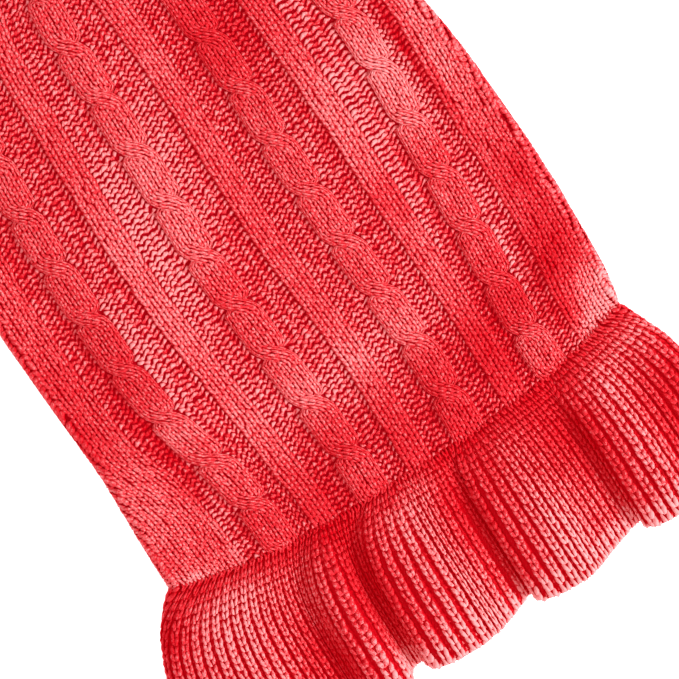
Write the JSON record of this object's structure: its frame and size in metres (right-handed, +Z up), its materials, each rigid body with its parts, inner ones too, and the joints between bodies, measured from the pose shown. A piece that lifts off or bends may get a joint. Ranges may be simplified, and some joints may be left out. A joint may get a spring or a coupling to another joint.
{
  "type": "dog sweater",
  "caption": "Knitted dog sweater lying flat, with rope cables and ribs down its back, a ribbed collar, short ribbed leg sleeves and a gathered ruffle at its hem.",
  "frame": {"origin": "centre of the bounding box in plan, on the surface that the sweater lies on", "axes": "+X across the back to the right as it is seen from above with the neck up, +Y from the hem to the neck, +Z up from the surface"},
  "size_m": [0.2776, 0.3518, 0.017],
  "materials": {
    "yarn": "heathered coral red acrylic knit, dull"
  },
  "bodies": {
    "root": {"back_panel": "yarn", "belly_panel": "yarn", "back_ruffle": "yarn", "belly_ruffle": "yarn", "collar": "yarn", "left_sleeve": "yarn", "right_sleeve": "yarn"}
  },
  "joints": []
}
